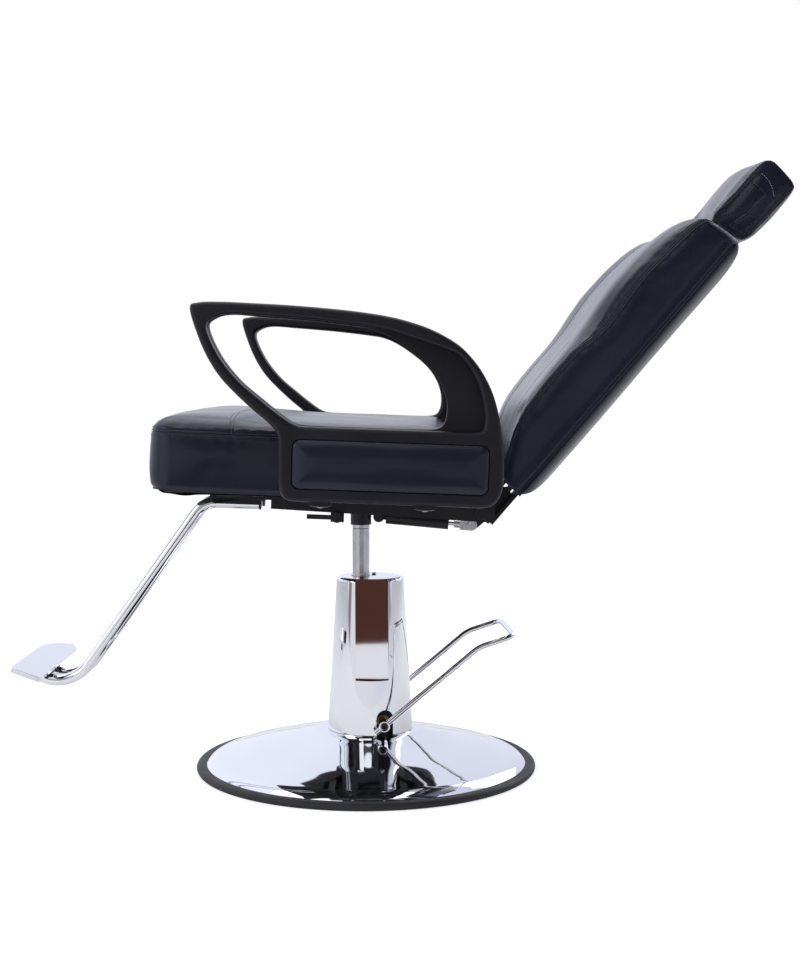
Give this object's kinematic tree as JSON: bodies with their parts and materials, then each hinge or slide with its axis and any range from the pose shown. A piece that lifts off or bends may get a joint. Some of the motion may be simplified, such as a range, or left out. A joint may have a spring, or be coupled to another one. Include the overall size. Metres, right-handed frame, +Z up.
{
  "type": "hydraulic barber chair",
  "caption": "Barber chair with round base, foot-pumped hydraulic column, reclining back, headrest, loop arms and a footrest on two bent tubes.",
  "frame": {"origin": "on the floor, on the lifting ram's axis, about which the seat turns", "axes": "+Z up, -X the way the chair faces, +Y the sitter's left"},
  "size_m": [1.2145, 0.724, 0.9825],
  "materials": {
    "chrome": "polished",
    "black_steel": "satin",
    "zinc": "satin",
    "rubber": "matte",
    "bronze": "satin",
    "plywood": "raw",
    "leather": "grained",
    "lining": "woven",
    "plastic": "moulded"
  },
  "bodies": {
    "base": {"base_ring": "rubber", "base_dome": "chrome", "base_plate": "black_steel", "base_bolts": "zinc", "pump_body": "black_steel", "pump_cover": "chrome", "cover_screw": "zinc", "gland_nut": "zinc", "ram_seal": "rubber", "shaft_bushes": "bronze"},
    "ram": {"ram": "chrome", "piston_ring": "rubber"},
    "chair": {"spindle": "zinc", "swivel_hub": "black_steel", "hub_bolts": "zinc", "seat_frame": "black_steel", "cross_tubes": "black_steel", "side_plate_left": "black_steel", "side_plate_right": "black_steel", "seat_board": "plywood", "seat_cushion": "leather", "dust_cover": "lining", "arm_left": "plastic", "arm_right": "plastic", "panel_left": "leather", "panel_right": "leather", "arm_bolts": "zinc", "footrest_bracket": "black_steel", "bracket_bolts": "zinc", "footrest_tube_left": "chrome", "footrest_tube_right": "chrome", "tube_plugs": "rubber", "foot_bracket": "black_steel", "foot_plate": "chrome", "foot_plate_studs": "zinc", "hinge_pins": "zinc", "gas_front_pin": "zinc"},
    "back": {"back_frame": "black_steel", "hinge_bushes": "bronze", "back_board": "plywood", "back_cushion": "leather", "back_cover": "leather", "gas_rear_pin": "zinc", "headrest_sleeves": "zinc"},
    "headrest": {"headrest_cushion": "leather", "headrest_posts": "chrome"},
    "pedal": {"pedal_bar": "chrome", "pedal_hubs": "chrome", "pedal_shaft": "zinc", "pedal_screws": "black_steel"},
    "plunger": {"plunger": "zinc"},
    "gas_cylinder": {"gas_cylinder": "black_steel"},
    "gas_rod": {"gas_rod": "chrome", "gas_clevis": "zinc"},
    "release": {"release_shaft": "black_steel", "release_blade": "zinc"}
  },
  "joints": [
    {"name": "lift", "type": "slide", "parent": "base", "child": "ram", "axis": [0, 0, 1], "range_m": [-0.078, 0.08]},
    {"name": "swivel", "type": "hinge", "parent": "ram", "child": "chair", "pos_m": [0, 0, 0.4], "axis": [0, 0, 1], "continuous": true},
    {"name": "recline", "type": "hinge", "parent": "chair", "child": "back", "pos_m": [0.19065, 0, 0.44536], "axis": [0, 1, 0], "range_deg": [-28, 6]},
    {"name": "headrest_slide", "type": "slide", "parent": "back", "child": "headrest", "axis": [0.6494, 0, 0.7604], "range_m": [0, 0.1]},
    {"name": "pedal", "type": "hinge", "parent": "base", "child": "pedal", "pos_m": [0.03287, 0.00288, 0.085], "axis": [-0.0872, 0.9962, 0], "range_deg": [0, 28], "stiffness_Nm_per_rad": 3, "springref_deg": -34.38},
    {"name": "plunger_slide", "type": "slide", "parent": "base", "child": "plunger", "axis": [0, 0, 1], "range_m": [0, 0.0066]},
    {"name": "gas_pivot", "type": "hinge", "parent": "chair", "child": "gas_cylinder", "pos_m": [0.02957, 0, 0.41716], "axis": [0, 1, 0], "range_deg": [-0.7, 0.3]},
    {"name": "gas_slide", "type": "slide", "parent": "gas_cylinder", "child": "gas_rod", "axis": [0.9957, 0, -0.0923], "range_m": [-0.005, 0.0215]},
    {"name": "release_lever", "type": "hinge", "parent": "chair", "child": "release", "pos_m": [-0.02674, 0, 0.43794], "axis": [0, 1, 0], "range_deg": [0, 18], "stiffness_Nm_per_rad": 1, "springref_deg": -28.65}
  ],
  "couplings": [
    {"joint": "plunger_slide", "follows": "pedal", "m_per_rad": 0.0128},
    {"joint": "gas_pivot", "follows": "recline", "ratio": 0.0206},
    {"joint": "gas_slide", "follows": "recline", "m_per_rad": -0.04247}
  ]
}
